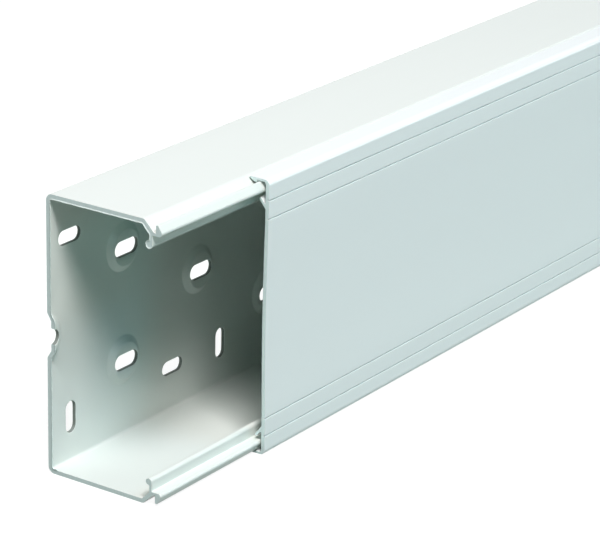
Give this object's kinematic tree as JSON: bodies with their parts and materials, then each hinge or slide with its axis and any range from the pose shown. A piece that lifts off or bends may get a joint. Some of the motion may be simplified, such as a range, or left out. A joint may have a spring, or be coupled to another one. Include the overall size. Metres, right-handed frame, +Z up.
{
  "type": "cable trunking",
  "caption": "Two-part rigid plastic cable trunking: a slotted trough with inward lips, and a clip-over cover that slides along them.",
  "frame": {"origin": "centre of the whole outline's underside, as the trunking stands on its lower side wall with the cover drawn back 56 mm", "axes": "+X along the length, away from the open end; -Y out through the cover's face; +Y out of the slotted back; +Z up"},
  "size_m": [2.056, 0.05, 0.1],
  "materials": {
    "trough_pvc": "smooth extruded white PVC-U, satin to gloss",
    "cover_pvc": "smooth extruded white PVC-U, satin to gloss"
  },
  "bodies": {
    "trough": {"trough": "trough_pvc"},
    "cover": {"cover": "cover_pvc"}
  },
  "joints": [
    {"name": "cover_slide", "type": "slide", "parent": "trough", "child": "cover", "axis": [1, 0, 0], "range_m": [-0.056, 1.95]}
  ]
}
